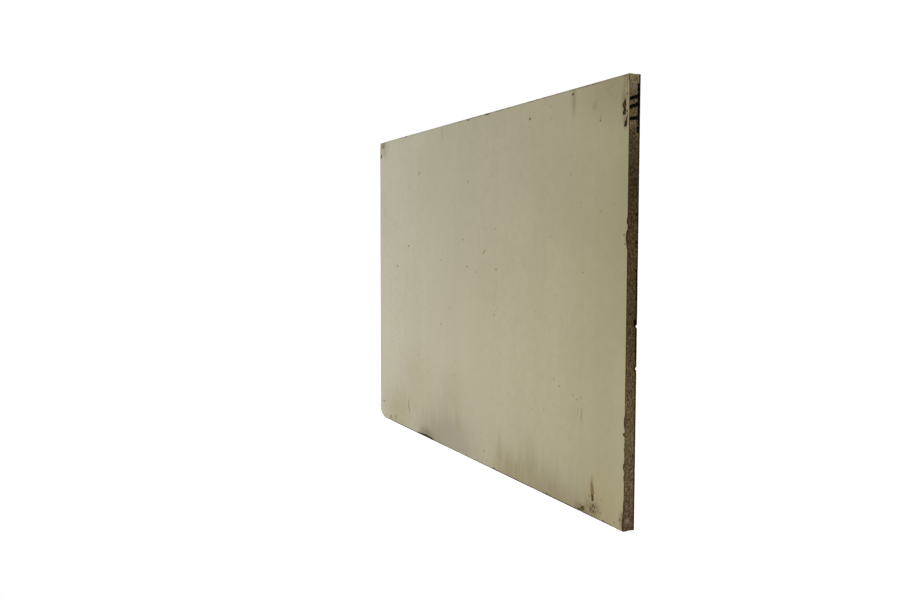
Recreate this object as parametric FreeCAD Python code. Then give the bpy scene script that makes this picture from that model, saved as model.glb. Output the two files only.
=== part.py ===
import FreeCAD, Part
import os

# Stone-look wall panel, lying flat with its finished face up, in millimetres.
# Origin: centre of the back face. +X along the length, +Y across the width, +Z out of the finished face.
# Three bonded sheets, from the back up: a dark backing laminate, a chipboard core, a stone-coloured facing.
# The -X,-Y corner is worn round, the facing has lost its -X,+Y corner, and the +X edge has two nicks below.

# Overall sizes
panel_length = 900.0          # along X
panel_width = 600.0           # along Y

# Sheet thicknesses, from the back up
back_thickness = 1.2
core_thickness = 16.0
face_thickness = 0.8

# Corner worn round through all three sheets, at -X,-Y
worn_corner_length = 30.0     # along X
worn_corner_width = 14.0      # along Y
worn_corner_bulge = 3.5       # how far the worn edge bows outwards, beyond a straight cut

# Corner broken off the facing alone, at -X,+Y, which leaves the core showing
face_chip_length = 30.0       # along X
face_chip_width = 12.0        # along Y
face_chip_bulge = 2.5         # how far the break bows into the facing, beyond a straight cut

# Nicks in the backing laminate, on its +X edge
nick_offsets = (327.5, 383.5)     # from the +Y edge to each nick's centre
nick_mouth = 4.0                  # width along Y at the edge
nick_depth = 3.0                  # how far it reaches in along X

# Heights of the faces where the sheets meet
core_bottom = back_thickness
face_bottom = core_bottom + core_thickness

# Edges of the panel
x_high = panel_length / 2.0
x_low = -x_high
y_high = panel_width / 2.0
y_low = -y_high


def point(x, y, z):
    return FreeCAD.Vector(x, y, z)


def line(start, end):
    return Part.LineSegment(start, end).toShape()


def bow(start, end, bulge):
    """Arc from start to end that bows to the right of the way it runs, by bulge at its middle."""
    along = (end - start).normalize()
    right = along.cross(point(0.0, 0.0, 1.0))
    middle = (start + end) * 0.5 + right * bulge
    return Part.Arc(start, middle, end).toShape()


def prism(edges, thickness):
    """Solid made by raising a closed flat outline along +Z."""
    return Part.Face(Part.Wire(edges)).extrude(point(0.0, 0.0, thickness))


def sheet(bottom, thickness):
    """One full sheet of the panel, with the worn corner."""
    worn_start = point(x_low, y_low + worn_corner_width, bottom)
    worn_end = point(x_low + worn_corner_length, y_low, bottom)
    far_low = point(x_high, y_low, bottom)
    far_high = point(x_high, y_high, bottom)
    near_high = point(x_low, y_high, bottom)
    edges = [
        bow(worn_start, worn_end, worn_corner_bulge),
        line(worn_end, far_low),
        line(far_low, far_high),
        line(far_high, near_high),
        line(near_high, worn_start),
    ]
    return prism(edges, thickness)


def face_chip():
    """The piece that has broken off the facing's corner: its inner side bows into the facing."""
    corner = point(x_low, y_high, face_bottom)
    along = point(x_low + face_chip_length, y_high, face_bottom)
    down = point(x_low, y_high - face_chip_width, face_bottom)
    edges = [
        line(corner, down),
        bow(down, along, face_chip_bulge),
        line(along, corner),
    ]
    return prism(edges, face_thickness)


def nick(offset):
    """A V-shaped nick through the backing laminate, from its +X edge."""
    centre = y_high - offset
    mouth_low = point(x_high, centre - nick_mouth / 2.0, 0.0)
    mouth_high = point(x_high, centre + nick_mouth / 2.0, 0.0)
    tip = point(x_high - nick_depth, centre, 0.0)
    edges = [
        line(mouth_low, mouth_high),
        line(mouth_high, tip),
        line(tip, mouth_low),
    ]
    return prism(edges, back_thickness)


def back_laminate():
    shape = sheet(0.0, back_thickness)
    for offset in nick_offsets:
        shape = shape.cut(nick(offset))
    return shape


def core_board():
    return sheet(core_bottom, core_thickness)


def face_laminate():
    return sheet(face_bottom, face_thickness).cut(face_chip())


nodes = {
    "back_laminate": back_laminate(),
    "core_board": core_board(),
    "face_laminate": face_laminate(),
}

os.makedirs("parts", exist_ok=True)
for name, shape in nodes.items():
    box = shape.BoundBox
    print(name, shape.isValid(), len(shape.Solids), round(shape.Volume, 1),
          [round(v, 3) for v in (box.XMin, box.XMax, box.YMin, box.YMax, box.ZMin, box.ZMax)])
    shape.exportStep("parts/" + name + ".step")
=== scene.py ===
import math
import random

import bpy
from mathutils import Matrix, Vector, noise


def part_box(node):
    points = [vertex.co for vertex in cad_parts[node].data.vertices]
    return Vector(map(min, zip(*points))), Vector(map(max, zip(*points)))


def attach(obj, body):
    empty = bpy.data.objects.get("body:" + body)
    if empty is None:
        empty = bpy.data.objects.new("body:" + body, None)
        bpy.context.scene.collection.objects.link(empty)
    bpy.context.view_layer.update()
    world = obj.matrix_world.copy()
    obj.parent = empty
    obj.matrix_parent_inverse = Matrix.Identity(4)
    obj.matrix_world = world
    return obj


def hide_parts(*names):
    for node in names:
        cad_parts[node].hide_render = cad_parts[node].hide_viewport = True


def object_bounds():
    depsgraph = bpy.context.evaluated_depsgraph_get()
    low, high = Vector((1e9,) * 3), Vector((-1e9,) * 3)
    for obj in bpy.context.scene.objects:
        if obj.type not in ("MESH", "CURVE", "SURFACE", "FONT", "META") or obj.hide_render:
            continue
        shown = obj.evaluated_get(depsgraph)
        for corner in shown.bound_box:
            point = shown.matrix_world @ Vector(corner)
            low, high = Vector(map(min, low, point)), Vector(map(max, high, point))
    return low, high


# A stone-look wall panel, lying flat with its finished face up: a dark backing sheet, a chipboard core and
# a stone-coloured facing, bonded in that order. Lengths are in metres in the panel's own frame: +X along
# it to the bare sawn end, +Y across it, +Z out of the finished face.
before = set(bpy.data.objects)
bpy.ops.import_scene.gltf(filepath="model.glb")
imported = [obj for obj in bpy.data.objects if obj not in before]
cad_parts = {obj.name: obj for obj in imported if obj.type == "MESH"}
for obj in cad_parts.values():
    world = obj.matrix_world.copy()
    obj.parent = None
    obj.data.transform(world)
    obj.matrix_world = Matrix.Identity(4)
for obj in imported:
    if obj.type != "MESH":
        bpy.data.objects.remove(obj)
cad_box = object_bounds()
MM = 0.001
TO_MM = 1.0 / MM

# ------------------------------------------------------------------------------------------------
# The backing sheet
# Brown kraft paper soaked in phenolic resin and pressed hard, glued to the back of the board so that
# the panel doesn't bow. It was sawn with the board, so its arris is ragged, with two nicks at the end.
# ------------------------------------------------------------------------------------------------
back_low, back_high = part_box("back_laminate")
EDGE_STEP = 1.0 * MM                # spacing of the points along a sawn edge: one fine chip
WORN_LENGTH = 30.0 * MM             # the worn corner at -X,-Y: its reach along X,
WORN_WIDTH = 14.0 * MM              # its reach along Y,
WORN_BOW = 3.5 * MM                 # and how far it bows out beyond a straight cut
BACK_SAW_CHIP = 0.45 * MM           # depth of the ordinary raggedness of the sawn backing
NICKS = ((-27.5 * MM, 2.2 * MM, 3.2 * MM),      # centre along Y, half length and depth of each nick
         (-83.5 * MM, 2.4 * MM, 2.9 * MM))


def side_points(start, end, bow):
    """Points EDGE_STEP apart from start to just short of end, on an arc that bows out by bow."""
    chord = end - start
    count = max(2, round(chord.length / EDGE_STEP))
    out = Vector((chord.y, -chord.x)).normalized()
    points = []
    for i in range(count):
        share = i / count
        lift = 4.0 * bow * share * (1.0 - share)
        points.append(start + chord * share + out * lift)
    return points


def outline(low, high, broken=None):
    """The panel's outline, anticlockwise from the worn corner, as points and the way out at each of them.
    broken is the length, width and bow of a corner that has broken off at -X,+Y."""
    stops = [(low.x, low.y + WORN_WIDTH, WORN_BOW), (low.x + WORN_LENGTH, low.y, 0.0),
             (high.x, low.y, 0.0), (high.x, high.y, 0.0)]
    if broken:
        length, width, bow = broken
        stops += [(low.x + length, high.y, -bow), (low.x, high.y - width, 0.0)]
    else:
        stops += [(low.x, high.y, 0.0)]
    points = []
    for i, (x, y, bow) in enumerate(stops):
        ahead = stops[(i + 1) % len(stops)]
        points += side_points(Vector((x, y)), Vector(ahead[:2]), bow)
    outs = []
    for i, at in enumerate(points):
        before = at - points[i - 1]
        after = points[(i + 1) % len(points)] - at
        normal_before = Vector((before.y, -before.x)).normalized()
        normal_after = Vector((after.y, -after.x)).normalized()
        mitre = normal_before + normal_after
        outs.append(mitre / (1.0 + normal_before.dot(normal_after)))
    return points, outs


def sheet(name, ring, levels, wear, broad_share, upper_is_seen):
    """A closed sheet: its outline repeated at each height in levels, worn inwards by wear(place, out).
    Its baking map gives broad_share of the image to the broad faces, mostly to the one that is seen, and
    the rest to the four edges."""
    points, outs = ring
    count = len(points)
    verts = []
    for level in levels:
        for at, out in zip(points, outs):
            place = Vector((at.x, at.y, level))
            inner = at - out * wear(place, out)
            verts.append((inner.x, inner.y, level))
    faces = []
    for row in range(len(levels) - 1):
        low_row, high_row = row * count, (row + 1) * count
        for i in range(count):
            j = (i + 1) % count
            faces.append((low_row + i, low_row + j, high_row + j, high_row + i))
    faces.append(tuple(reversed(range(count))))
    faces.append(tuple(range(len(verts) - count, len(verts))))
    mesh = bpy.data.meshes.new(name)
    mesh.from_pydata(verts, [], faces)

    bake_map = mesh.uv_layers.new(name="OFBake")
    x_low, x_high = cad_box[0][0], cad_box[1][0]
    y_low, y_high = cad_box[0][1], cad_box[1][1]
    span = x_high - x_low
    strip = (1.0 - broad_share) / 4.0
    for face in mesh.polygons:
        for corner in face.loop_indices:
            at = mesh.vertices[mesh.loops[corner].vertex_index].co
            along_x = (at.x - x_low) / span
            along_y = (at.y - y_low) / span
            # The last two faces are the broad ones. The one that is seen gets most of the room.
            if face.index >= len(faces) - 2:
                seen = (face.index == len(faces) - 1) == upper_is_seen
                size = min(0.86, broad_share * 1.4) if seen else 0.1
                shift = 0.01 if seen else 0.89
                bake_map.data[corner].uv = (shift + along_x * size, 0.01 + along_y * size)
                continue
            middle = face.center
            height = (at.z - levels[0]) / (levels[-1] - levels[0])
            if min(middle.y - y_low, y_high - middle.y) < min(middle.x - x_low, x_high - middle.x):
                row, along = (0, along_x) if middle.y < 0.0 else (1, along_x)
            else:
                row, along = (2, along_y) if middle.x < 0.0 else (3, along_y)
            base = broad_share + strip * row
            bake_map.data[corner].uv = (0.02 + 0.96 * along, base + strip * (0.08 + 0.84 * height))

    piece = bpy.data.objects.new(name, mesh)
    bpy.context.scene.collection.objects.link(piece)
    return piece


def grain_noise(place, size, seed):
    """Smooth noise from 0 to 1 with bumps about size across."""
    raw = noise.noise(place / size + Vector((seed, seed * 1.7, seed * 2.3)))
    return min(1.0, max(0.0, 0.5 + 0.5 * raw))


def dent(distance, half_length, depth):
    """Depth of a rounded chip at a distance along the edge from its middle."""
    share = abs(distance) / half_length
    return depth * math.sqrt(1.0 - share * share) if share < 1.0 else 0.0


def backing_wear(place, out):
    """How far the backing's edge lies inside its outline: a ragged saw cut, and the nicks at the end."""
    ragged = grain_noise(place, 3.0 * MM, 11.0) * grain_noise(place, 11.0 * MM, 12.0)
    worn = BACK_SAW_CHIP * 1.4 * ragged
    if out.x > 0.9:
        for centre, half_length, depth in NICKS:
            worn = max(worn, dent(place.y - centre, half_length, depth))
    return worn


def linear(hex_colour):
    """An sRGB hex colour as linear red, green, blue and alpha."""
    parts = [int(hex_colour[i:i + 2], 16) / 255.0 for i in (1, 3, 5)]
    return [p / 12.92 if p <= 0.04045 else ((p + 0.055) / 1.055) ** 2.4 for p in parts] + [1.0]


EASED = {"interpolation_type": "SMOOTHSTEP"}    # for a change that starts and ends softly
COLOURS = {"data_type": "RGBA"}                 # for a mix of two colours, inputs 6 and 7, output 2
ENDLESS = 1.0e6                                 # a repeat so long that there is no change along that axis


def node(tree, kind, inputs, out=0, **settings):
    """Adds a node with its settings and returns one of its outputs. Inputs are a list in the node's own
    order, or go by name or number; each is a value, a hex colour, or the output that feeds it."""
    made = tree.nodes.new("ShaderNode" + kind)
    for name, value in settings.items():
        setattr(made, name, value)
    for socket, value in inputs.items() if isinstance(inputs, dict) else enumerate(inputs):
        if isinstance(value, bpy.types.NodeSocket):
            tree.links.new(value, made.inputs[socket])
        else:
            made.inputs[socket].default_value = linear(value) if isinstance(value, str) else value
    return made.outputs[out] if made.outputs else None


def new_finish(name):
    """An empty material: its tree, and the panel's own coordinates in metres."""
    finish = bpy.data.materials.new(name)
    finish.use_nodes = True
    finish.node_tree.nodes.clear()
    place = node(finish.node_tree, "TexCoord", [], "Object")
    return finish, finish.node_tree, place


def every(x, y, z):
    """The scale at which a pattern repeats about every x, y and z millimetres."""
    return (TO_MM / x, TO_MM / y, TO_MM / z)


def shade_along(tree, distance, low, high, stops):
    """A colour that changes through stops, each a distance and a hex colour, from low to high."""
    share = node(tree, "MapRange", [distance, low, high])
    shade = node(tree, "ValToRGB", [share])
    elements = shade.node.color_ramp.elements
    while len(elements) < len(stops):
        elements.new(1.0)
    for element, (at, colour) in zip(elements, stops):
        element.position = (at - low) / (high - low)
        element.color = linear(colour)
    return shade


def shaded(tree, colour, roughness, height, relief, **sockets):
    """Ends a material: a principled surface whose bump is relief millimetres for the full run of height."""
    bump = node(tree, "Bump", {"Height": height, "Distance": relief * MM, "Strength": 1.0})
    inputs = {"Base Color": colour, "Roughness": roughness, "Normal": bump}
    inputs.update(sockets)
    surface = node(tree, "BsdfPrincipled", inputs)
    node(tree, "OutputMaterial", {"Surface": surface})


def phenolic_backing():
    """Pressed phenolic kraft laminate, sanded for glue: near black where it was sawn, dull brown on the
    broad back, with pale sanding lines and rubbed patches. It gives the eye a hard thin dark line."""
    finish, tree, place = new_finish("phenolic_kraft_sanded")
    cloud_place = node(tree, "Mapping", {"Vector": place, "Scale": every(220.0, 50.0, 20.0)})
    cloud = node(tree, "TexNoise", {"Vector": cloud_place, "Scale": 1.0, "Detail": 5.0})
    blotch_place = node(tree, "Mapping", {"Vector": place, "Scale": every(14.0, 18.0, 6.0)})
    blotch = node(tree, "TexNoise", {"Vector": blotch_place, "Scale": 1.0, "Detail": 3.0})
    # Real sanding lines are 0.2 mm apart; they are drawn 2 mm apart so that they show.
    line_place = node(tree, "Mapping", {"Vector": place, "Scale": every(400.0, 2.0, 2.0)})
    sanding = node(tree, "TexNoise", {"Vector": line_place, "Scale": 1.0, "Detail": 1.0})
    colour = node(tree, "Mix", {0: cloud, 6: "#2b2015", 7: "#3a2c1e"}, 2, **COLOURS)
    resin = node(tree, "MapRange", [blotch, 0.35, 0.75, 0.0, 0.55], **EASED)
    colour = node(tree, "Mix", {0: resin, 6: colour, 7: "#1a120a"}, 2, **COLOURS)
    scratched = node(tree, "MapRange", [sanding, 0.5, 0.75, 0.0, 0.35], **EASED)
    colour = node(tree, "Mix", {0: scratched, 6: colour, 7: "#5a4a36"}, 2, **COLOURS)
    rubbed = node(tree, "MapRange", [cloud, 0.42, 0.8, 0.0, 0.45], **EASED)
    colour = node(tree, "Mix", {0: rubbed, 6: colour, 7: "#6b5b45"}, 2, **COLOURS)
    sawn = node(tree, "Mix", {0: blotch, 6: "#0d0905", 7: "#1d150c"}, 2, **COLOURS)
    at_edge = node(tree, "MapRange", [node(tree, "SeparateXYZ", [place], "Z"), 0.05 * MM, 0.3 * MM], **EASED)
    colour = node(tree, "Mix", {0: at_edge, 6: colour, 7: sawn}, 2, **COLOURS)
    roughness = node(tree, "MapRange", [blotch, 0.2, 0.8, 0.7, 0.85], **EASED)
    shaded(tree, colour, roughness, sanding, 0.05, **{"Specular IOR Level": 0.05})
    return finish


backing = sheet("backing_sheet", outline(back_low, back_high),
                [back_low.z, back_low.z + 0.3 * MM, back_high.z], backing_wear, 0.6, False)
backing.data.materials.append(phenolic_backing())
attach(backing, "root")
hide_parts("back_laminate")

# ------------------------------------------------------------------------------------------------
# The chipboard core
# Wood chips and resin pressed into a 16 mm board: coarse chips in the middle, fine ones at both faces.
# It was sawn and left bare, so chips have torn out; its dull dark brown is dust, and painted shade where the
# sawn end faces away from the light.
# ------------------------------------------------------------------------------------------------
core_low, core_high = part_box("core_board")
CORE_ROWS = 16                      # rows of points up the sawn edge, one to a millimetre
CHIP_LENGTH = 4.5                   # millimetres, along the board
CHIP_THICKNESS = 1.5                # millimetres, through the board
CHIP_RECESS = 0.35 * MM             # how far one sawn chip may lie behind the next
VOID_DEPTH = 1.1 * MM               # how deep the gaps between chips run in
SPLINTERS = ((-24.5 * MM, 5.0 * MM, 2.2 * MM, 4.6 * MM),     # centre along Y, half length, depth and
             (-84.0 * MM, 2.6 * MM, 2.6 * MM, 3.4 * MM))     # height of each torn place above a nick


def core_wear(place, out):
    """How far the sawn chipboard lies inside its outline: stepped chips, gaps, and splinters at the nicks."""
    flat_chip = Vector((place.x / CHIP_LENGTH, place.y / CHIP_LENGTH, place.z / CHIP_THICKNESS)) / MM
    # Neighbouring columns of chips are staggered in height, as they are in a pressed board.
    stagger = Vector((0.0, 0.0, 0.37 * math.floor(flat_chip.y)))
    recess = CHIP_RECESS * (0.5 + 0.5 * noise.cell(flat_chip + stagger))
    middle = 1.0 - abs(2.0 * (place.z - core_low.z) / (core_high.z - core_low.z) - 1.0)
    gap = grain_noise(place, 2.6 * MM, 21.0) * grain_noise(place, 7.0 * MM, 22.0)
    void = VOID_DEPTH * max(0.0, gap - 0.33) * 3.0 * min(1.0, 0.25 + 1.6 * middle)
    worn = 0.05 * MM + recess * min(1.0, 0.3 + middle) + void
    if out.x > 0.9:
        for centre, half_length, depth, height in SPLINTERS:
            share = (place.z - core_low.z) / height
            if share < 1.0:
                torn = dent(place.y - centre, half_length * (1.0 - 0.6 * share), depth * (1.0 - share))
                worn = max(worn, torn)
    return worn


# Colour of the end along Y, in millimetres from the middle: dust, and painted shade as the end faces away
# from the light; darkest about 170 mm from the middle, paler towards both ends.
END_DUST_AND_SHADE = ((-300.0, "#725f4e"), (-240.0, "#7d6d56"), (-170.0, "#837658"), (-110.0, "#74654c"),
             (-50.0, "#61553c"), (20.0, "#584c33"), (80.0, "#564c34"), (170.0, "#403522"),
             (228.0, "#635642"), (236.0, "#7d6d54"), (262.0, "#74674f"), (285.0, "#877c68"),
             (300.0, "#a39676"))
# Inspection strokes brushed across the end: centre along Y, width and lean, in millimetres.
STROKES = ((269.9, 5.0, -0.33), (259.2, 5.2, -0.37), (243.2, 4.8, -0.15))
STROKE_LOW, STROKE_HIGH = 2.4, 17.2     # heights between which the strokes run, in millimetres
SMEAR_FROM, SMEAR_TO = 236.0, 287.0     # the run of paint along the back arris, in millimetres
SMEAR_HEIGHT = 4.6
# Dots and lumps of the same paint low on the end, and painted shade in the torn places above the two nicks,
# at -22.5 and -84 mm: centre along Y, half length and top, in millimetres.
PAINT_DOTS_AND_SPLINTER_SHADE = ((229.0, 4.0, 5.5), (119.0, 1.8, 4.4), (113.5, 1.0, 3.4), (82.5, 2.0, 4.8), (77.5, 1.4, 4.0),
              (46.0, 1.6, 4.4), (-15.0, 58.0, 3.0), (-22.5, 5.0, 5.6), (-84.0, 2.4, 4.6))


def band(tree, value, middle, width, soft):
    """1 where the value is within half of width from middle, falling to 0 over soft beyond it."""
    off = node(tree, "Math", [value, middle], operation="SUBTRACT")
    off = node(tree, "Math", [off], operation="ABSOLUTE")
    return node(tree, "MapRange", [off, width / 2.0, width / 2.0 + soft, 1.0, 0.0], **EASED)


def brushed_paint_and_splinter_shade(tree, place):
    """How much of the sawn end's black inspection paint covers a place, with its ragged brush ends, and how
    much painted shade lies in the torn places above the nicks.
    """
    height = node(tree, "Math", [node(tree, "SeparateXYZ", [place], "Z"), TO_MM], operation="MULTIPLY")
    along = node(tree, "Math", [node(tree, "SeparateXYZ", [place], "Y"), TO_MM], operation="MULTIPLY")
    bristle_place = node(tree, "Mapping", {"Vector": place, "Scale": every(3.0, 2.0, 2.0)})
    bristles = node(tree, "TexNoise", {"Vector": bristle_place, "Scale": 1.0, "Detail": 3.0})
    # The brush frays the paint by up to 1.5 mm along the end and 2.5 mm up it.
    shift = node(tree, "MapRange", [bristles, 0.0, 1.0, -1.5, 1.5])
    along = node(tree, "Math", [along, shift], operation="ADD")
    shift = node(tree, "MapRange", [bristles, 0.0, 1.0, -2.5, 2.5])
    frayed_height = node(tree, "Math", [height, shift], operation="ADD")

    middle_height = (STROKE_LOW + STROKE_HIGH) / 2.0
    above_middle = node(tree, "Math", [height, middle_height], operation="SUBTRACT")
    covered = 0.0
    for centre, width, lean in STROKES:
        leaning = node(tree, "Math", [above_middle, lean], operation="MULTIPLY")
        upright = node(tree, "Math", [along, leaning], operation="SUBTRACT")
        stroke = band(tree, upright, centre, width - 0.6, 0.8)
        covered = node(tree, "Math", [covered, stroke], operation="MAXIMUM")
    span = band(tree, frayed_height, middle_height, STROKE_HIGH - STROKE_LOW, 0.6)
    covered = node(tree, "Math", [covered, span], operation="MULTIPLY")

    run = band(tree, along, (SMEAR_FROM + SMEAR_TO) / 2.0, SMEAR_TO - SMEAR_FROM, 2.0)
    below = node(tree, "MapRange", [frayed_height, SMEAR_HEIGHT - 0.6, SMEAR_HEIGHT, 1.0, 0.0], **EASED)
    run = node(tree, "Math", [run, below], operation="MULTIPLY")
    covered = node(tree, "Math", [covered, run], operation="MAXIMUM")
    # The dots include the painted shade in the torn places above the nicks.
    for centre, half_length, top in PAINT_DOTS_AND_SPLINTER_SHADE:
        dot = band(tree, along, centre, 2.0 * half_length - 0.8, 0.8)
        below = node(tree, "MapRange", [height, top - 0.8, top, 1.0, 0.0], **EASED)
        dot = node(tree, "Math", [dot, below], operation="MULTIPLY")
        covered = node(tree, "Math", [covered, dot], operation="MAXIMUM")
    end_starts = core_high.x - 6.0 * MM
    at_end = [node(tree, "SeparateXYZ", [place], "X"), end_starts, end_starts + 1.0 * MM]
    return node(tree, "Math", [covered, node(tree, "MapRange", at_end, **EASED)], operation="MULTIPLY")


def raw_chipboard():
    """Raw chipboard, sawn: flat chips of several browns with dark gaps between them, dull and dusty.
    Chips are drawn 4.5 mm by 1.5 mm, the size of the coarse ones, so that the grain shows."""
    finish, tree, place = new_finish("raw_chipboard_sawn")
    height = node(tree, "Math", [node(tree, "SeparateXYZ", [place], "Z"), TO_MM], operation="MULTIPLY")
    along = node(tree, "Math", [node(tree, "SeparateXYZ", [place], "Y"), TO_MM], operation="MULTIPLY")
    # The end's colour along Y: dust, and painted shade as the end faces away from the light.
    dust_and_shade = shade_along(tree, along, -300.0, 300.0, END_DUST_AND_SHADE)

    # The chips' edges wander, so their coordinates are pushed about by noise before they are cut up.
    push_place = node(tree, "Mapping", {"Vector": place, "Scale": every(5.0, 5.0, 3.0)})
    push = node(tree, "TexNoise", {"Vector": push_place, "Scale": 1.0}, "Color")
    push = node(tree, "VectorMath", {0: push, "Scale": 3.0 * MM}, operation="SCALE")
    wandering = node(tree, "VectorMath", [place, push], operation="ADD")
    chip_scale = every(CHIP_LENGTH, CHIP_LENGTH, CHIP_THICKNESS)
    chip_place = node(tree, "Mapping", {"Vector": wandering, "Scale": chip_scale})
    chip = node(tree, "TexVoronoi", {"Vector": chip_place, "Scale": 1.0}, "Color")
    tone = node(tree, "SeparateColor", [chip], "Red")
    warmth = node(tree, "SeparateColor", [chip], "Green")
    bleached = node(tree, "Mix", {0: tone, 6: "#b4b0a8", 7: "#fffaf2"}, 2, **COLOURS)
    colour = node(tree, "Mix", {0: 1.0, 6: dust_and_shade, 7: bleached}, 2, blend_type="MULTIPLY", **COLOURS)
    warm = node(tree, "MapRange", [warmth, 0.55, 1.0, 0.0, 0.3], **EASED)
    colour = node(tree, "Mix", {0: warm, 6: colour, 7: "#5a4529"}, 2, **COLOURS)

    # Fine chips and dust between them are under 1 mm; they are drawn 1.7 mm so that they show.
    fine_place = node(tree, "Mapping", {"Vector": place, "Scale": every(1.7, 1.7, 1.5)})
    fine = node(tree, "TexNoise", {"Vector": fine_place, "Scale": 1.0, "Detail": 2.0})
    handled = node(tree, "MapRange", [along, 228.0, 242.0, 1.0, 0.55], **EASED)
    dust = node(tree, "MapRange", [fine, 0.52, 0.68, 0.0, 0.16], **EASED)
    dust = node(tree, "Math", [dust, handled], operation="MULTIPLY")
    colour = node(tree, "Mix", {0: dust, 6: colour, 7: "#a59779"}, 2, **COLOURS)
    pits = node(tree, "MapRange", [fine, 0.36, 0.54, 0.66, 0.0], **EASED)
    pits = node(tree, "Math", [pits, handled], operation="MULTIPLY")
    colour = node(tree, "Mix", {0: pits, 6: colour, 7: "#291f12"}, 2, **COLOURS)
    gaps = node(tree, "MapRange", [chip.node.outputs["Distance"], 0.45, 0.85, 0.0, 0.6], **EASED)
    colour = node(tree, "Mix", {0: gaps, 6: colour, 7: "#1d150b"}, 2, **COLOURS)

    # Glue has darkened the board just under the facing and just above the backing.
    glue_above = node(tree, "MapRange", [height, 15.6, 16.8, 0.0, 0.55], **EASED)
    glue_below = node(tree, "MapRange", [height, 1.8, 3.2, 0.85, 0.0], **EASED)
    glued = node(tree, "Math", [glue_above, glue_below], operation="MAXIMUM")
    colour = node(tree, "Mix", {0: glued, 6: colour, 7: "#35240f"}, 2, **COLOURS)

    # A pale scuff where the lower end has been knocked, 286 mm from the middle and 10.6 mm up.
    knock = node(tree, "VectorMath", [place, (0.0, 286.0 * MM, -10.6 * MM)], operation="ADD")
    knock = node(tree, "Mapping", {"Vector": knock, "Scale": every(ENDLESS, 6.0, 3.6)})
    from_knock = node(tree, "VectorMath", [knock], "Value", operation="LENGTH")
    ragged = node(tree, "Math", [fine, 1.2], operation="MULTIPLY")
    from_knock = node(tree, "Math", [from_knock, ragged], operation="ADD")
    scuff = node(tree, "MapRange", [from_knock, 0.6, 1.5, 0.6, 0.0], **EASED)
    colour = node(tree, "Mix", {0: scuff, 6: colour, 7: "#9a917c"}, 2, **COLOURS)

    # Black inspection paint, and painted shade in the torn places above the nicks.
    paint_and_splinter_shade = brushed_paint_and_splinter_shade(tree, place)
    colour = node(tree, "Mix", {0: paint_and_splinter_shade, 6: colour, 7: "#090705"}, 2, **COLOURS)
    roughness = node(tree, "MapRange", [paint_and_splinter_shade, 0.0, 1.0, 0.9, 0.7], **EASED)
    relief = node(tree, "Math", [tone, 0.5], operation="MULTIPLY")
    relief = node(tree, "Math", [relief, fine], operation="ADD")
    shaded(tree, colour, roughness, relief, 0.35, **{"Specular IOR Level": 0.02})
    return finish


core_levels = [core_low.z + (core_high.z - core_low.z) * row / CORE_ROWS for row in range(CORE_ROWS + 1)]
core = sheet("chipboard_core", outline(core_low, core_high), core_levels, core_wear, 0.08, True)
core.data.materials.append(raw_chipboard())
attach(core, "root")
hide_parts("core_board")

# ------------------------------------------------------------------------------------------------
# The stone-coloured facing
# Printed paper in clear melamine resin, pressed to a satin sheet 0.8 mm thick and glued to the board.
# It is brittle, so its arris has chipped, and one corner has broken off; grime has run down and dried.
# ------------------------------------------------------------------------------------------------
face_low, face_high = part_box("face_laminate")
BROKEN_CORNER = (30.0 * MM, 12.0 * MM, 2.5 * MM)        # length, width and bow, at -X,+Y
BREAK_BITE = 5.5 * MM               # how much further the break runs in, in its middle
SPECK_RISE = 0.06 * MM              # dried specks stand this high, so the facing's top lies this much lower
ARRIS_EASE = 0.15 * MM              # the arris is rubbed down by this much
FACING_TOP = face_high.z - SPECK_RISE
# Chips out of the arris at the +X end: centre along Y, half length and depth, in millimetres.
END_CHIPS = ((296.0, 5.0, 1.4), (111.0, 5.0, 1.8), (89.0, 10.0, 3.4), (78.0, 4.0, 1.4),
             (-154.0, 9.0, 1.9), (-169.8, 2.4, 4.2), (-190.0, 3.0, 1.0), (-213.0, 5.0, 2.6),
             (-228.0, 4.0, 1.2), (-272.0, 14.0, 1.6), (-292.0, 14.0, 3.6))
# Chips strewn along the other arrises: distance along them, half length and depth, in millimetres.
rng = random.Random(7)
OTHER_CHIPS = [(rng.uniform(0.0, 2000.0), rng.uniform(1.5, 5.0), rng.uniform(0.4, 1.6))
               for _ in range(46)]


def facing_wear(place, out):
    """How far the facing's edge lies inside its outline: nibbled, eased, chipped, jagged at the break."""
    nibble = 0.35 * MM * grain_noise(place, 2.2 * MM, 31.0)
    eased = ARRIS_EASE if place.z > FACING_TOP - 0.1 * MM else 0.0
    worn = nibble + eased
    jagged = 0.75 + 0.5 * grain_noise(place, 1.6 * MM, 32.0)
    if out.x > 0.9:
        for centre, half_length, depth in END_CHIPS:
            chip = dent(place.y - centre * MM, half_length * MM, depth * MM) * jagged
            worn = max(worn, chip + eased)
    elif out.x < -0.2 and out.y > 0.2:
        # The bite deepens over the break's first six tenths and ends over its last quarter.
        share = (place.x - face_low.x) / BROKEN_CORNER[0]
        worn += BREAK_BITE * max(0.0, min(share / 0.6, (1.0 - share) / 0.25, 1.0)) * jagged
    else:
        # A distance along the other edges, by x or y. The -X end's is put 1.5 m on, past the long edges'.
        along = (place.x if abs(out.y) > 0.5 else 1.5 + place.y) / MM + 500.0
        for centre, half_length, depth in OTHER_CHIPS:
            chip = dent(along - centre, half_length, depth) * MM * jagged
            worn = max(worn, chip + eased)
    return worn
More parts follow.
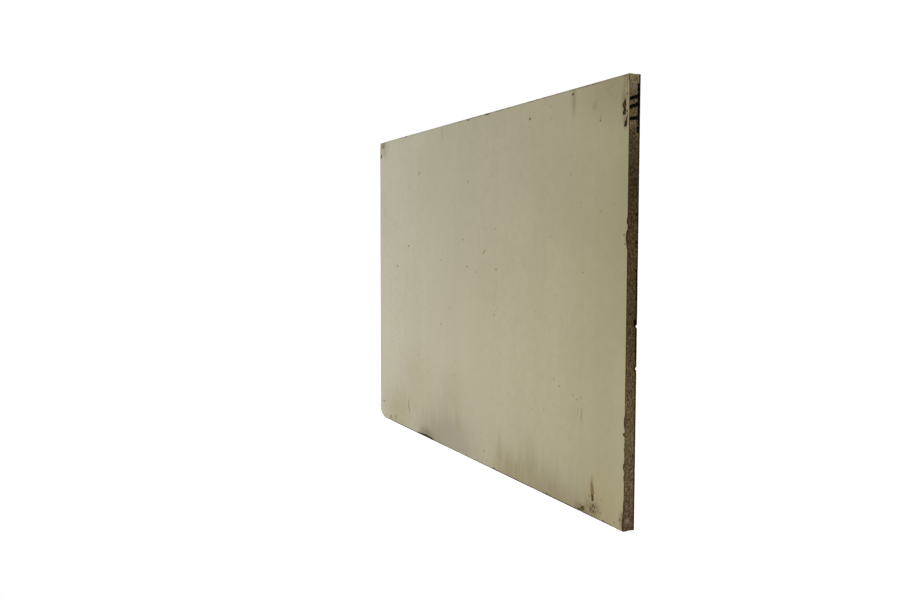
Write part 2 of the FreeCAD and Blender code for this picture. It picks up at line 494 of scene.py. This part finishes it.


# Soft stains, and a grey patch of painted reflection: centre and reach along X and Y in millimetres, colour,
# strength.
STAINS_AND_REFLECTION = (
    (-100.0, -310.0, 230.0, 140.0, "#8f8467", 0.60),    # dull dust over the lower side
    (-245.0, -190.0, 120.0, 110.0, "#968f62", 0.26),
    (175.0, -262.0, 90.0, 50.0, "#938b62", 0.22),
    (-80.0, -185.0, 80.0, 60.0, "#8f8762", 0.22),
    (-350.0, -290.0, 120.0, 110.0, "#948d5e", 0.48),    # yellowed towards the worn corner
    (-70.0, -285.0, 90.0, 70.0, "#978f80", 0.45),       # a grey patch, painted reflection of the pale surroundings
    (130.0, -320.0, 90.0, 90.0, "#7f6e49", 0.50),       # brown damp that has crept in from the lower arris
    (280.0, -335.0, 230.0, 115.0, "#7b6c4b", 0.80),
    (400.0, -262.0, 80.0, 80.0, "#968961", 0.42),
    (104.0, -262.0, 12.0, 48.0, "#8f7a50", 0.35),
    (206.0, -250.0, 30.0, 60.0, "#857a58", 0.30),
    (376.6, -258.0, 7.0, 24.0, "#6f5d3c", 0.55),        # round a dried run
    (379.0, -288.0, 26.0, 18.0, "#665839", 0.60),
    (352.0, -298.0, 24.0, 16.0, "#5d4f33", 0.65),
    (448.0, -286.0, 12.0, 18.0, "#705e3c", 0.75),       # rubbed near the lower end
    (440.0, -150.0, 30.0, 190.0, "#a39a77", 0.25),
    (425.0, 290.0, 120.0, 70.0, "#7b6f4e", 0.45),       # handled near the upper end
    (441.0, 262.0, 10.0, 36.0, "#64563a", 0.65),
    (444.0, 238.0, 8.0, 16.0, "#64563a", 0.60),
    (444.0, 292.0, 7.0, 20.0, "#5f5236", 0.70),
    (321.0, 284.0, 8.0, 38.0, "#736a4b", 0.62),
    (372.0, 268.0, 8.0, 10.0, "#7c7150", 0.45),
    (-428.0, 286.0, 44.0, 30.0, "#8b8265", 0.50),       # round the broken corner
    (-126.0, 286.0, 6.0, 20.0, "#857f66", 0.50),
    (387.0, 254.0, 4.0, 12.0, "#78704e", 0.45),
    (402.5, 288.0, 4.0, 12.0, "#757052", 0.50),
    (412.5, 285.0, 4.0, 12.0, "#757052", 0.45),
)
# Painted shadow at the lower arris near X = -200 mm, thickest at the arris and thinning out without a border,
# and a pale grey patch beside it that is a painted reflection.
SHADE_AND_REFLECTION_PATCHES = (
    (-196.0, -300.0, 55.0, 30.0, "#3a3126", 0.45),
    (-176.0, -300.0, 90.0, 62.0, "#4a4032", 0.12),
    (-95.0, -285.0, 110.0, 70.0, "#938b7c", 0.20),
)
# The facing's ground colour, by place along X in millimetres: paler towards the -X end with painted sheen,
# which stands in for part of the low reflection there, and darker towards the +X end with grime.
GROUND_AND_SHEEN = ((-450.0, "#a49d7a"), (-130.0, "#a49d7a"), (130.0, "#a49e7e"), (300.0, "#a09a79"),
          (450.0, "#958e6a"))
# What grime leaves of it, by place along Y: the middle is cleaner than the sides.
CLEANNESS = ((-300.0, "#f4f3f1"), (-130.0, "#ffffff"), (20.0, "#f9f9f9"), (160.0, "#efefef"),
             (300.0, "#ebebe9"))


def melamine_facing():
    """Melamine-faced paper, satin pressed: a limestone colour, clouded like the stone, with the sheen of
    a hard resin skin. It gives the eye a pale even face that takes a soft reflection at a low angle."""
    finish, tree, place = new_finish("melamine_stone_print_satin")
    along_x = node(tree, "Math", [node(tree, "SeparateXYZ", [place], "X"), TO_MM], operation="MULTIPLY")
    along_y = node(tree, "Math", [node(tree, "SeparateXYZ", [place], "Y"), TO_MM], operation="MULTIPLY")
    # Ground colour along X, with a painted sheen that makes the -X end paler.
    ground_and_sheen = shade_along(tree, along_x, -450.0, 450.0, GROUND_AND_SHEEN)
    clean = shade_along(tree, along_y, -300.0, 300.0, CLEANNESS)
    colour = node(tree, "Mix", {0: 1.0, 6: ground_and_sheen, 7: clean}, 2, blend_type="MULTIPLY", **COLOURS)

    # The print is clouded in layers: what each repeats about along X, Y and Z, its detail, the noise between
    # which it comes in, its strength at either end, and its colour. Real drag lines are 0.3 mm apart.
    layers = []
    for size, detail, low, high, at_low, at_high, tint in (
            ((180.0, 150.0, 100.0), 3.0, 0.35, 0.65, 0.0, 0.16, "#afa889"),     # pale clouds
            ((16.0, 16.0, 16.0), 4.0, 0.25, 0.75, 0.08, 0.0, "#7d7652"),        # mottle
            ((26.0, 320.0, 50.0), 4.0, 0.35, 0.65, 0.0, 0.07, "#7d7652"),       # streaks
            ((260.0, 3.0, 50.0), 1.0, 0.35, 0.65, 0.0, 0.02, "#7d7652")):       # drag lines, 3 mm apart
        layer_place = node(tree, "Mapping", {"Vector": place, "Scale": every(*size)})
        layer = node(tree, "TexNoise", {"Vector": layer_place, "Scale": 1.0, "Detail": detail})
        amount = node(tree, "MapRange", [layer, low, high, at_low, at_high], **EASED)
        colour = node(tree, "Mix", {0: amount, 6: colour, 7: tint}, 2, **COLOURS)
        layers.append(layer)
    mottle, drag = layers[1], layers[3]

    # The stains' borders are ragged, and run a little along Y, the way that water ran. The borders of the
    # painted shadow at the lower arris, and of the pale patch beside it, are smoother.
    run_place = node(tree, "Mapping", {"Vector": place, "Scale": every(9.0, 40.0, 50.0)})
    run_down = node(tree, "TexNoise", {"Vector": run_place, "Scale": 1.0, "Detail": 4.0})
    ragged = node(tree, "MapRange", [run_down, 0.0, 1.0, -0.225, 0.225])
    smooth = node(tree, "Math", [ragged, 0.15], operation="MULTIPLY")
    dull = mottle
    # Stains, then painted shadow and painted reflection, each laid over the colour.
    for stains_and_shading, border in ((STAINS_AND_REFLECTION, ragged), (SHADE_AND_REFLECTION_PATCHES, smooth)):
        for x, y, reach_x, reach_y, stain_and_shade_colour, strength in stains_and_shading:
            moved = node(tree, "VectorMath", [place, (-x * MM, -y * MM, 0.0)], operation="ADD")
            shrunk = node(tree, "Mapping", {"Vector": moved, "Scale": every(reach_x, reach_y, ENDLESS)})
            far = node(tree, "VectorMath", [shrunk], "Value", operation="LENGTH")
            far = node(tree, "Math", [far, border], operation="ADD")
            amount = node(tree, "MapRange", [far, 0.15, 1.0, strength, 0.0], **EASED)
            colour = node(tree, "Mix", {0: amount, 6: colour, 7: stain_and_shade_colour}, 2, **COLOURS)
            dull = node(tree, "Math", [dull, amount], operation="ADD")

    # A broken dark line runs along the two long arrises.
    from_middle = node(tree, "Math", [node(tree, "SeparateXYZ", [place], "Y")], operation="ABSOLUTE")
    line = [from_middle, face_high.y - 3.2 * MM, face_high.y - 1.0 * MM]
    near_long_arrises = node(tree, "MapRange", line, **EASED)
    patch_place = node(tree, "Mapping", {"Vector": place, "Scale": every(30.0, 400.0, 50.0)})
    patches = node(tree, "TexNoise", {"Vector": patch_place, "Scale": 1.0, "Detail": 4.0})
    patches = node(tree, "MapRange", [patches, 0.42, 0.6, 0.35, 0.85], **EASED)
    arris_line = node(tree, "Math", [near_long_arrises, patches], operation="MULTIPLY")
    colour = node(tree, "Mix", {0: arris_line, 6: colour, 7: "#51462f"}, 2, **COLOURS)

    # The cut edge is brown: under the print, the sheet is kraft paper.
    edge = [node(tree, "SeparateXYZ", [place], "Z"), FACING_TOP - 0.2 * MM, FACING_TOP - 0.12 * MM, 0.8, 0.0]
    cut = node(tree, "MapRange", edge, **EASED)
    colour = node(tree, "Mix", {0: cut, 6: colour, 7: "#5b4c33"}, 2, **COLOURS)

    # Clean resin has a sheen; where it is stained, and under the painted shadow and reflection, it is dull.
    roughness = node(tree, "MapRange", [dull, 0.3, 1.4, 0.17, 0.6])
    relief = node(tree, "Math", [drag, 0.3], operation="MULTIPLY")
    relief = node(tree, "Math", [mottle, relief], operation="ADD")
    shaded(tree, colour, roughness, relief, 0.006, IOR=1.4)
    return finish


facing = sheet("stone_facing", outline(face_low, face_high, BROKEN_CORNER),
               [face_low.z, FACING_TOP - 0.14 * MM, FACING_TOP], facing_wear, 0.6, True)
facing.data.materials.append(melamine_facing())
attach(facing, "root")
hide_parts("face_laminate")

# ------------------------------------------------------------------------------------------------
# The torn corner
# Where the facing's corner broke off it took the top of the board with it: torn chips and shreds of
# backing paper stand at uneven heights, brown where they are fresh.
# ------------------------------------------------------------------------------------------------
TORN_STEP = 0.5 * MM                # spacing of the torn surface's points
TORN_INSET = 0.4 * MM               # how far inside the outline the torn surface starts
TORN_REACH_X = BROKEN_CORNER[0] + 10.0 * MM     # it runs on under the facing's jagged edge
TORN_REACH_Y = BROKEN_CORNER[1] + 8.0 * MM


def torn_height(x, y):
    """How high the torn chips stand above the board's top, from the corner inwards."""
    place = Vector((x, y, 0.0))
    chip = 0.5 + 0.5 * noise.cell(Vector((x / (3.0 * MM), y / (1.8 * MM), 5.0)))
    shred = grain_noise(place, 1.4 * MM, 41.0)
    return (0.08 + 0.28 * chip + 0.26 * shred) * MM


def torn_corner():
    """A closed cap of torn chips, as a grid that stops at the facing's broken edge."""
    columns, rows = int(TORN_REACH_X / TORN_STEP), int(TORN_REACH_Y / TORN_STEP)
    corner = Vector((face_low.x + TORN_INSET, face_high.y - TORN_INSET))
    verts, faces, index = [], [], {}

    def inside(column, row):
        return column / columns + row / rows <= 1.0 + 1.6 / columns

    def vertex(column, row, upper):
        key = (column, row, upper)
        if key not in index:
            x = corner.x + column * TORN_STEP
            y = corner.y - row * TORN_STEP
            z = face_low.z + (torn_height(x, y) if upper else -0.05 * MM)
            index[key] = len(verts)
            verts.append((x, y, z))
        return index[key]

    cells = [(c, r) for c in range(columns) for r in range(rows) if inside(c + 1, r + 1)]
    filled = set(cells)
    for c, r in cells:
        ring = [(c, r), (c, r + 1), (c + 1, r + 1), (c + 1, r)]
        faces.append([vertex(*at, True) for at in ring])
        faces.append([vertex(*at, False) for at in reversed(ring)])
        beside = [(c - 1, r), (c, r + 1), (c + 1, r), (c, r - 1)]
        for i, neighbour in enumerate(beside):
            if neighbour not in filled:
                first, second = ring[i], ring[(i + 1) % 4]
                faces.append([vertex(*second, True), vertex(*first, True),
                              vertex(*first, False), vertex(*second, False)])
    mesh = bpy.data.meshes.new("torn_corner")
    mesh.from_pydata(verts, [], faces)
    piece = bpy.data.objects.new("torn_corner", mesh)
    bpy.context.scene.collection.objects.link(piece)
    return piece


def torn_chipboard():
    """Chipboard torn open: fresh yellow-brown wood beside old grey-brown dirt, fibrous and dull."""
    finish, tree, place = new_finish("chipboard_torn")
    shred_place = node(tree, "Mapping", {"Vector": place, "Scale": every(3.0, 1.8, 2.0)})
    shreds = node(tree, "TexNoise", {"Vector": shred_place, "Scale": 1.0, "Detail": 3.0})
    fresh = node(tree, "MapRange", [shreds, 0.3, 0.7], **EASED)
    colour = node(tree, "Mix", {0: fresh, 6: "#84755a", 7: "#a29276"}, 2, **COLOURS)
    fine_place = node(tree, "Mapping", {"Vector": place, "Scale": every(0.9, 0.9, 0.9)})
    fine = node(tree, "TexNoise", {"Vector": fine_place, "Scale": 1.0, "Detail": 2.0})
    dirt = node(tree, "MapRange", [fine, 0.5, 0.75, 0.0, 0.5], **EASED)
    colour = node(tree, "Mix", {0: dirt, 6: colour, 7: "#5a4a33"}, 2, **COLOURS)
    # Shreds of the print are left on it towards the end.
    end = [node(tree, "SeparateXYZ", [place], "X"), face_low.x + 7.0 * MM, face_low.x + 12.0 * MM, 0.9, 0.0]
    printed = node(tree, "MapRange", end, **EASED)
    colour = node(tree, "Mix", {0: printed, 6: colour, 7: "#a49d7c"}, 2, **COLOURS)
    shaded(tree, colour, 0.9, fine, 0.15, **{"Specular IOR Level": 0.1})
    return finish


torn = torn_corner()
torn.data.materials.append(torn_chipboard())
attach(torn, "root")

# ------------------------------------------------------------------------------------------------
# Dried specks on the facing
# Splashes of black paint beside the painted end, specks and runs of soil and dust that have dried on the
# facing, and two dark lines along the lower arris towards the -X end, which are painted shadow. They are thin
# crusts with ragged outlines, a few hundredths of a millimetre thick.
# ------------------------------------------------------------------------------------------------
# Each spot: its middle along X and Y, its reach along X and Y, and its lean in degrees; millimetres.
# Each run: points along its middle, each with the half width there; millimetres.
PAINT_SPOTS = (
    (446.2, 252.2, 3.0, 5.0, 10), (447.4, 246.0, 1.8, 6.0, 0), (446.6, 274.5, 2.2, 5.0, 10),
)
PAINT_RUNS_AND_SHADOW_LINE = (
    ((442.2, 269.0, 0.8), (441.6, 266.0, 2.0), (440.6, 262.5, 3.8), (440.4, 260.5, 4.6), (441.0, 257.0, 2.8),
     (441.0, 253.5, 3.2), (440.6, 251.0, 3.8), (440.4, 248.0, 2.4)),
    ((446.2, 245.0, 0.9), (445.2, 241.0, 1.6), (444.0, 237.5, 3.2), (443.4, 235.0, 3.4), (443.0, 232.5, 2.0)),
    # The third run, along the lower arris near X = -200 mm, is a painted shadow line.
    ((-246.0, -298.6, 0.5), (-225.0, -297.8, 1.6), (-200.0, -297.2, 2.4), (-172.0, -297.6, 2.0),
     (-157.0, -298.8, 0.6)),
)
SOIL_SPOTS = (
    (198.3, 272.7, 4.6, 5.0, 0), (318.4, 292.6, 6.0, 5.0, 10), (443.3, 92.6, 3.6, 2.6, 0),
    (445.7, 81.0, 2.4, 3.0, 0), (-18.7, 41.0, 5.0, 2.8, 0), (90.1, 38.5, 3.2, 4.0, 0),
    (288.8, -128.1, 3.2, 2.2, 0), (346.0, -297.0, 11.0, 4.0, 0), (353.5, -293.8, 11.0, 8.0, 10),
    (357.0, -291.0, 4.0, 3.0, 40), (348.0, -290.5, 3.0, 2.0, 0), (380.6, -282.4, 5.0, 5.0, 25),
    (378.4, -285.0, 3.0, 3.4, 0), (375.0, -289.0, 7.0, 3.6, 20), (381.0, -291.0, 5.0, 3.6, -30),
    (372.4, -287.4, 3.0, 2.4, 0),
    (-429.6, -263.7, 8.0, 3.0, 0), (405.0, -297.6, 7.0, 1.8, 0),
    (-443.0, 270.5, 9.0, 10.0, 0), (-300.0, 298.4, 12.0, 2.6, 0), (130.0, 298.8, 10.0, 1.4, 0),
    (368.0, 298.8, 5.0, 1.6, 0), (87.0, -297.6, 9.0, 3.4, 0), (96.0, -298.6, 12.0, 1.8, 0),
    (258.0, -298.0, 9.0, 3.4, 0), (56.0, 298.2, 22.0, 3.0, 0), (-16.0, 297.4, 9.0, 2.6, 0),
)
SOIL_RUNS_AND_SHADOW_LINE = (
    ((377.8, -267.5, 1.4), (378.2, -271.0, 3.4), (378.6, -274.5, 3.8), (378.0, -277.0, 1.6)),
    ((-291.4, -240.0, 0.5), (-288.0, -251.0, 1.0), (-283.4, -263.5, 1.2)),
    ((100.0, -299.0, 0.4), (160.0, -298.9, 0.9), (216.0, -299.0, 0.5)),
    ((222.0, -299.0, 0.3), (255.0, -298.9, 0.9), (300.0, -298.8, 1.0), (354.0, -298.9, 0.8),
     (380.0, -299.0, 0.3)),
    # The last run, along the lower arris from X = -420 to -240 mm, is a painted shadow line.
    ((-420.0, -299.0, 0.2), (-380.0, -298.9, 0.8), (-300.0, -298.9, 0.8), (-240.0, -299.0, 0.6)),
)
DUST_SPOTS = (
    (259.4, 284.0, 4.0, 5.0, 0), (396.4, 285.2, 3.4, 5.0, 0), (372.1, 270.0, 4.0, 5.5, 20),
    (-15.8, 189.6, 6.0, 5.0, 0), (315.3, 180.5, 3.6, 5.0, 0), (16.6, 32.2, 3.8, 4.6, 0),
    (-129.2, 50.7, 4.4, 4.6, 0), (217.9, -22.1, 3.4, 3.0, 0), (259.7, 266.5, 3.4, 4.0, 0),
    (341.7, 138.3, 3.4, 4.5, 0), (380.8, 140.7, 3.4, 4.0, 0), (390.6, 125.5, 3.2, 5.5, 0),
    (421.4, 133.7, 3.4, 3.4, 0), (-35.2, 88.8, 5.0, 5.0, 0), (-285.7, 76.6, 8.0, 4.5, 0),
    (-348.6, 34.5, 8.0, 5.5, 0), (83.9, -37.8, 3.4, 5.0, 0), (-128.8, -70.2, 5.0, 5.0, 0),
    (-89.0, -37.3, 5.0, 4.6, 0), (348.7, 40.9, 3.2, 5.0, 0), (274.7, -120.4, 3.4, 4.6, 0),
    (326.0, -136.0, 3.4, 4.0, 20), (336.0, -141.0, 3.8, 4.5, 0), (347.0, -137.0, 3.2, 4.0, 0),
    (283.1, -279.2, 5.0, 6.0, 0), (399.0, -270.0, 4.6, 4.6, 0), (360.0, -279.0, 3.4, 4.0, 0),
    (366.0, -292.0, 3.4, 4.5, 0), (49.8, -275.5, 4.6, 6.0, 0), (12.0, 298.8, 6.0, 2.4, 0),
    (370.0, -284.0, 2.4, 4.5, 0), (388.0, -287.0, 3.0, 5.0, 30), (392.0, -293.0, 3.4, 5.0, 20),
)
DUST_RUNS = (
    ((-229.0, 223.0, 1.2), (-233.0, 220.0, 2.6), (-237.0, 216.5, 1.4)),
    ((41.0, 62.5, 0.8), (46.5, 67.2, 1.7), (51.5, 72.0, 0.8)),
    ((387.0, 256.0, 0.5), (386.8, 252.0, 0.9), (386.4, 246.0, 1.3)),
    ((348.4, -151.0, 0.6), (348.8, -161.0, 1.1), (348.0, -171.0, 0.6)),
    ((339.4, -152.0, 0.6), (339.0, -158.0, 1.0), (339.0, -164.0, 0.5)),
    ((402.0, 296.0, 1.0), (403.0, 291.0, 1.3), (402.6, 286.0, 0.6)),
    ((412.0, 290.0, 0.6), (412.5, 285.0, 1.3), (412.6, 280.0, 0.8)),
    ((443.6, 297.0, 0.8), (443.0, 291.0, 1.8), (443.8, 286.0, 0.8), (443.4, 281.0, 1.6), (444.4, 275.0, 0.8)),
)
RUST_SPOTS = (
    (-388.0, -292.5, 7.0, 9.0, 0), (-358.5, -288.0, 6.0, 13.0, 0), (443.0, -286.0, 6.0, 5.0, 0),
    (386.4, 247.5, 3.0, 3.0, 0), (447.0, -278.0, 3.0, 8.0, 0), (430.0, -293.0, 4.0, 2.6, 0),
)
RUST_RUNS = (
    ((375.4, -249.5, 0.9), (376.0, -254.0, 2.4), (377.0, -259.0, 3.8), (378.0, -264.0, 5.0),
     (377.8, -268.0, 3.2), (378.2, -271.0, 2.8)),
)
SPLASH_AT = Vector((380.0, -289.0))     # dirt has splashed outwards from here
SPLASH_NEAR, SPLASH_SPREAD = 4.0, 16.0  # the nearest drops lie this far out, the others up to this beyond
SPLASH_COUNT = 34
STRAY_COUNT = 110                   # more faint specks, strewn at random over the facing
SPOT_POINTS = 11                    # points round a spot
RUN_STEP = 1.2                      # millimetres between points down a run
CRUST_INSET = 0.5 * MM              # no crust comes nearer to the facing's outline than this


def add_crust(verts, faces, outline_points, middle):
    """Adds one crust: its outline at the facing, just above it, and drawn in towards its middle on top."""
    first, count = len(verts), len(outline_points)
    rings = ((FACING_TOP - 0.03 * MM, 0.0), (FACING_TOP + 0.6 * SPECK_RISE, 0.05), (face_high.z, 0.3))
    for z, draw_in in rings:
        for at, centre in zip(outline_points, middle):
            drawn = (at + (centre - at) * draw_in) * MM
            x = min(max(drawn.x, face_low.x + CRUST_INSET), face_high.x - CRUST_INSET)
            y = min(max(drawn.y, face_low.y + CRUST_INSET), face_high.y - CRUST_INSET)
            verts.append((x, y, z))
    for row in range(2):
        for i in range(count):
            j = (i + 1) % count
            low_row, high_row = first + row * count, first + (row + 1) * count
            faces.append((low_row + i, low_row + j, high_row + j, high_row + i))
    faces.append([first + i for i in reversed(range(count))])
    faces.append([first + 2 * count + i for i in range(count)])


def add_spot(verts, faces, spot):
    """Adds a spot: a ragged round crust."""
    x, y, reach_x, reach_y, lean = spot
    turn = Matrix.Rotation(math.radians(lean), 2)
    ring = []
    for i in range(SPOT_POINTS):
        angle = 2.0 * math.pi * i / SPOT_POINTS
        swell = 0.5 * rng.uniform(0.72, 1.15)
        reach = turn @ Vector((math.cos(angle) * reach_x, math.sin(angle) * reach_y))
        ring.append(Vector((x, y)) + reach * swell)
    add_crust(verts, faces, ring, [Vector((x, y))] * SPOT_POINTS)


def add_run(verts, faces, run):
    """A run's outline goes down one side of its middle line and back up the other, with a ragged width."""
    spine = []
    for (x0, y0, w0), (x1, y1, w1) in zip(run, run[1:]):
        steps = max(2, int(Vector((x1 - x0, y1 - y0)).length / RUN_STEP))
        spine += [Vector((x0, y0, w0)).lerp(Vector((x1, y1, w1)), i / steps) for i in range(steps)]
    spine.append(Vector(run[-1]))
    sides = ([], [])
    for i, at in enumerate(spine):
        ahead = (spine[min(i + 1, len(spine) - 1)] - spine[max(i - 1, 0)]).to_2d().normalized()
        across = Vector((ahead.y, -ahead.x)) * at.z
        for side, sign in zip(sides, (-1.0, 1.0)):
            side.append(at.to_2d() + across * sign * rng.uniform(0.7, 1.25))
    middle = [at.to_2d() for at in spine]
    add_crust(verts, faces, sides[0] + sides[1][::-1], middle + middle[::-1])


def crust_piece(name, spots, runs):
    """All of one kind of crust, as one piece."""
    verts, faces = [], []
    for spot in spots:
        add_spot(verts, faces, spot)
    for run in runs:
        add_run(verts, faces, run)
    mesh = bpy.data.meshes.new(name)
    mesh.from_pydata(verts, [], faces)
    piece = bpy.data.objects.new(name, mesh)
    bpy.context.scene.collection.objects.link(piece)
    return piece


def dried_crust(name, dark, pale):
    """A dried crust, matt and crazed, between a dark and a paler colour."""
    finish, tree, place = new_finish(name)
    craze_place = node(tree, "Mapping", {"Vector": place, "Scale": every(2.4, 2.4, 2.4)})
    craze = node(tree, "TexNoise", {"Vector": craze_place, "Scale": 1.0, "Detail": 3.0})
    crazed = node(tree, "MapRange", [craze, 0.35, 0.7], **EASED)
    colour = node(tree, "Mix", {0: crazed, 6: dark, 7: pale}, 2, **COLOURS)
    shaded(tree, colour, 0.8, craze, 0.04, **{"Specular IOR Level": 0.05})
    return finish


def splashed():
    """One drop of a splash: a dash that points away from its middle."""
    angle = rng.uniform(0.0, 2.0 * math.pi)
    out = Vector((math.cos(angle), math.sin(angle)))
    at = SPLASH_AT + out * (SPLASH_NEAR + SPLASH_SPREAD * rng.random() ** 1.5)
    along, across = rng.uniform(2.0, 4.5), rng.uniform(0.7, 1.3)
    return (at.x, min(298.0, max(-298.0, at.y)), along, across, math.degrees(angle))


def stray():
    """A faint speck somewhere on the facing, a little more often towards the +X end."""
    x = -430.0 + 870.0 * rng.random() ** 0.8
    y = rng.uniform(-290.0, 290.0)
    size = rng.uniform(1.0, 2.4)
    return (x, y, size * rng.uniform(0.8, 1.6), size * rng.uniform(0.8, 2.2), rng.uniform(-40.0, 40.0))


strays = tuple(stray() for _ in range(STRAY_COUNT))
splash = tuple(splashed() for _ in range(SPLASH_COUNT))
crusts = (
    ("paint_specks_and_shadow_line", PAINT_SPOTS, PAINT_RUNS_AND_SHADOW_LINE, dried_crust("black_paint_and_painted_shadow", "#15100b", "#3f3325")),
    ("soil_specks_and_shadow_line", SOIL_SPOTS + splash, SOIL_RUNS_AND_SHADOW_LINE, dried_crust("soil_and_painted_shadow", "#41361f", "#6c5c3f")),
    ("dust_specks", DUST_SPOTS + strays, DUST_RUNS, dried_crust("dust_dried", "#898160", "#989170")),
    ("rusty_marks", RUST_SPOTS, RUST_RUNS, dried_crust("rusty_water_dried", "#6d5b43", "#8a7459")),
)
for crust_name, spots, runs, crust_finish in crusts:
    crust = crust_piece(crust_name, spots, runs)
    crust.data.materials.append(crust_finish)
    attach(crust, "root")

# ------------------------------------------------------------------------------------------------
# The floor, the light and the camera
# A pale matt floor that reads as white, and a white world. A key softbox stands high beyond the +X end,
# and a low wide one beyond the -X end: its reflection gives the facing its sheen.
# ------------------------------------------------------------------------------------------------
scene = bpy.context.scene
scene.view_settings.view_transform = "Standard"
FLOOR_REACH = 30.0                  # from the panel's middle, in metres
FLOOR_DROP = 0.2 * MM               # the floor lies this much below the back, so that they never coincide
OPENING_INSET = 20.0 * MM           # it is open under the panel, from this far in, to show the back
floor_mesh = bpy.data.meshes.new("floor")
opening_x, opening_y = back_high.x - OPENING_INSET, back_high.y - OPENING_INSET
floor_corners = []
for reach_x, reach_y in ((FLOOR_REACH, FLOOR_REACH), (opening_x, opening_y)):
    for side_x, side_y in ((-1, -1), (1, -1), (1, 1), (-1, 1)):
        floor_corners.append((side_x * reach_x, side_y * reach_y, -FLOOR_DROP))
floor_quads = [(i, (i + 1) % 4, (i + 1) % 4 + 4, i + 4) for i in range(4)]
floor_mesh.from_pydata(floor_corners, [], floor_quads)
floor = bpy.data.objects.new("floor", floor_mesh)
scene.collection.objects.link(floor)


def seen_directly(tree):
    """1 for rays that look straight at the background, or at it in a reflection or through glass."""
    looked = node(tree, "LightPath", [], "Is Camera Ray")
    mirrored = looked.node.outputs["Is Glossy Ray"]
    through = looked.node.outputs["Is Transmission Ray"]
    seen = node(tree, "Math", [looked, mirrored], operation="MAXIMUM")
    return node(tree, "Math", [seen, through], operation="MAXIMUM")


# A pale matt floor, with enough glow where it is looked at to read as white.
floor_paint, floor_tree, _ = new_finish("floor_pale_matt")
matt = node(floor_tree, "BsdfDiffuse", {"Color": "#e8e8e8"})
glow = node(floor_tree, "Math", [seen_directly(floor_tree), 0.5], operation="MULTIPLY")
glow = node(floor_tree, "Emission", {"Strength": glow})
both = node(floor_tree, "AddShader", [matt, glow])
node(floor_tree, "OutputMaterial", {"Surface": both})
floor_mesh.materials.append(floor_paint)

AMBIENT = 0.72                      # how brightly the world lights the panel; it looks white all the same
world = bpy.data.worlds.new("studio")
scene.world = world
world.use_nodes = True
sky = world.node_tree
sky.nodes.clear()
strength = node(sky, "MapRange", [seen_directly(sky), 0.0, 1.0, AMBIENT, 1.0])
background = node(sky, "Background", {"Color": "#ffffff", "Strength": strength})
node(sky, "OutputWorld", {"Surface": background})


def look(place, aim, up):
    """The turn and place of a thing that looks from place at aim, with its top towards up."""
    ahead = (Vector(aim) - Vector(place)).normalized()
    right = ahead.cross(Vector(up)).normalized()
    top = right.cross(ahead)
    turn = Matrix((right, top, -ahead)).transposed().to_4x4()
    return Matrix.Translation(place) @ turn


def softbox(name, place, aim, up, width, height, power, tint):
    """A rectangular lamp of width by height metres, which the camera doesn't see."""
    lamp = bpy.data.lights.new(name, "AREA")
    lamp.shape = "RECTANGLE"
    lamp.size = width
    lamp.size_y = height
    lamp.energy = power
    lamp.color = linear(tint)[:3]
    holder = bpy.data.objects.new(name, lamp)
    holder.matrix_world = look(place, aim, up)
    holder.visible_camera = False
    scene.collection.objects.link(holder)


softbox("key_softbox", (2.2, -0.9, 2.4), (0.0, 0.0, 0.0), (0.0, 0.0, 1.0), 2.2, 2.2, 48.0, "#fffdf8")
softbox("low_softbox", (-2.5, 0.0, 0.59), (0.0, 0.0, 0.59), (0.0, 0.17, 0.98), 3.4, 1.18, 8.0, "#f8f8ff")

CAMERA_AT = (1.4115, 0.0797, 0.7245)
CAMERA_AIM = (-0.1273, -0.0251, 0.0)
CAMERA_UP = (-0.0565, 0.9981, -0.0243)  # rolled on its side, so that the panel's 600 mm side is upright
lens = bpy.data.cameras.new("camera")
lens.sensor_width = 36.0
lens.lens = 36.0
lens.clip_start = 0.01
camera = bpy.data.objects.new("camera", lens)
camera.matrix_world = look(CAMERA_AT, CAMERA_AIM, CAMERA_UP)
scene.collection.objects.link(camera)
scene.camera = camera
